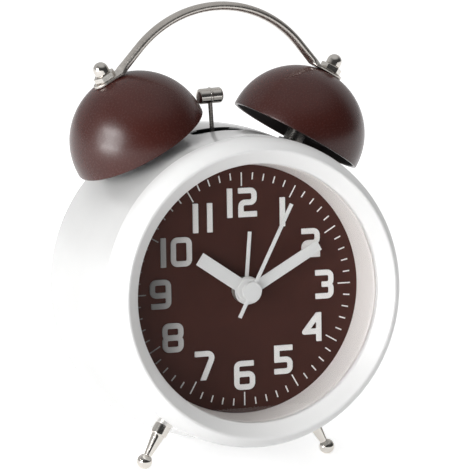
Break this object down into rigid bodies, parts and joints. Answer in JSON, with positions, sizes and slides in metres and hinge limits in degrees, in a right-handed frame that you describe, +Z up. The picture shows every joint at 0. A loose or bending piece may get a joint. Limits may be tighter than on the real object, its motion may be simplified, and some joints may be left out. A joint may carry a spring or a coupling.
{
  "type": "twin bell alarm clock",
  "caption": "Bell alarm clock with a white flared drum case, dark brown dial and bells, nickel handle and ball feet; hands, hammer, setting knobs, switch and battery door move",
  "frame": {"origin": "middle of the footprint box at table level, under both feet and the rear rim", "axes": "+X to the right seen from the front, +Y to the back, +Z up; the dial faces -Y and leans back"},
  "size_m": [0.1146, 0.0816, 0.1605],
  "materials": {
    "white_shell": "gloss white paint",
    "white_plastic": "matt white plastic",
    "pale_ring": "satin pale grey",
    "clear_lens": "clear, polished",
    "brown_dial": "satin dark brown",
    "silver_print": "silver-white paint",
    "white_hands": "white paint",
    "brown_bell": "satin dark brown enamel",
    "dark_post": "satin black",
    "nickel": "bright nickel plate",
    "steel": "zinc plated",
    "brass_pinion": "turned",
    "gear_plastic": "moulded",
    "black_plastic": "moulded",
    "copper": "enamelled wire",
    "board": "solder resist",
    "battery_skin": "printed sleeve",
    "lead_skin": "soft sleeve"
  },
  "bodies": {
    "case": {"drum_case": "white_shell", "front_bezel": "white_shell", "rear_cover": "white_plastic", "rehaut_ring": "pale_ring", "lens": "clear_lens", "dial_plate": "brown_dial", "dial_ticks": "silver_print", "dial_numerals": "silver_print", "left_bell": "brown_bell", "right_bell": "brown_bell", "bell_spacers": "dark_post", "handle": "nickel", "acorn_nuts": "nickel", "left_foot": "nickel", "right_foot": "nickel", "bell_studs": "nickel", "stud_nuts": "nickel", "foot_nuts": "nickel", "dial_nut": "nickel", "hammer_pivot": "steel", "hammer_bracket": "steel", "bracket_screws": "steel", "magnet_core": "steel", "movement_plate": "steel", "movement_screws": "steel", "stator": "steel", "rear_cover_screws": "steel", "battery_contacts": "steel", "movement_front": "black_plastic", "movement_back": "black_plastic", "switch_base": "black_plastic", "magnet_coil": "copper", "stepper_coil": "copper", "circuit_board": "board", "battery": "battery_skin", "battery_leads": "lead_skin", "magnet_leads": "lead_skin"},
    "time_set": {"time_set_knob": "white_plastic", "motion_wheel": "gear_plastic"},
    "minute": {"minute_hand": "white_hands", "cannon_pinion": "brass_pinion"},
    "hour": {"hour_hand": "white_hands", "hour_wheel": "gear_plastic"},
    "alarm_set": {"alarm_set_knob": "white_plastic", "alarm_pinion": "gear_plastic"},
    "alarm": {"alarm_hand": "white_hands", "alarm_wheel": "gear_plastic"},
    "second": {"second_hand": "white_hands", "second_wheel": "gear_plastic"},
    "third": {"third_wheel": "gear_plastic"},
    "centre": {"centre_wheel": "gear_plastic"},
    "intermediate": {"intermediate_wheel": "gear_plastic"},
    "rotor": {"rotor": "steel"},
    "hammer": {"hammer_head": "nickel", "hammer_rod": "nickel", "hammer_lever": "steel", "hammer_armature": "steel"},
    "battery_door": {"battery_door": "white_plastic"},
    "alarm_switch": {"alarm_switch": "black_plastic"}
  },
  "joints": [
    {"name": "time_set_spin", "type": "hinge", "parent": "case", "child": "time_set", "pos_m": [-0.00875, -0.01241, 0.06328], "axis": [0, 0.9868, -0.1617], "continuous": true},
    {"name": "minute_spin", "type": "hinge", "parent": "case", "child": "minute", "pos_m": [0, -0.01241, 0.06328], "axis": [0, 0.9868, -0.1617], "continuous": true},
    {"name": "hour_spin", "type": "hinge", "parent": "case", "child": "hour", "pos_m": [0, -0.01241, 0.06328], "axis": [0, 0.9868, -0.1617], "continuous": true},
    {"name": "alarm_set_spin", "type": "hinge", "parent": "case", "child": "alarm_set", "pos_m": [0.009, -0.01241, 0.06328], "axis": [0, 0.9868, -0.1617], "continuous": true},
    {"name": "alarm_spin", "type": "hinge", "parent": "case", "child": "alarm", "pos_m": [0, -0.01241, 0.06328], "axis": [0, 0.9868, -0.1617], "continuous": true},
    {"name": "second_spin", "type": "hinge", "parent": "case", "child": "second", "pos_m": [0, -0.01241, 0.06328], "axis": [0, 0.9868, -0.1617], "continuous": true},
    {"name": "third_spin", "type": "hinge", "parent": "case", "child": "third", "pos_m": [0, -0.01131, 0.06999], "axis": [0, 0.9868, -0.1617], "continuous": true},
    {"name": "centre_spin", "type": "hinge", "parent": "case", "child": "centre", "pos_m": [0, -0.01241, 0.06328], "axis": [0, 0.9868, -0.1617], "continuous": true},
    {"name": "intermediate_spin", "type": "hinge", "parent": "case", "child": "intermediate", "pos_m": [0.0035, -0.01339, 0.05729], "axis": [0, 0.9868, -0.1617], "continuous": true},
    {"name": "rotor_spin", "type": "hinge", "parent": "case", "child": "rotor", "pos_m": [0.0035, -0.01416, 0.05256], "axis": [0, 0.9868, -0.1617], "continuous": true},
    {"name": "hammer_swing", "type": "hinge", "parent": "case", "child": "hammer", "pos_m": [-0.002, 0.00907, 0.0861], "axis": [0, 0.9868, -0.1617], "range_deg": [0, 11.3]},
    {"name": "battery_door_hinge", "type": "hinge", "parent": "case", "child": "battery_door", "pos_m": [0, 0.02074, 0.01822], "axis": [-1, 0, 0], "range_deg": [0, 80]},
    {"name": "alarm_switch_slide", "type": "slide", "parent": "case", "child": "alarm_switch", "axis": [1, 0, 0], "range_m": [0, 0.004]}
  ],
  "couplings": [
    {"joint": "minute_spin", "follows": "time_set_spin", "ratio": -3},
    {"joint": "hour_spin", "follows": "time_set_spin", "ratio": -0.25},
    {"joint": "alarm_spin", "follows": "alarm_set_spin", "ratio": -0.5},
    {"joint": "third_spin", "follows": "second_spin", "ratio": -0.13333},
    {"joint": "centre_spin", "follows": "second_spin", "ratio": 0.016667},
    {"joint": "intermediate_spin", "follows": "second_spin", "ratio": -6},
    {"joint": "rotor_spin", "follows": "second_spin", "ratio": 30}
  ]
}
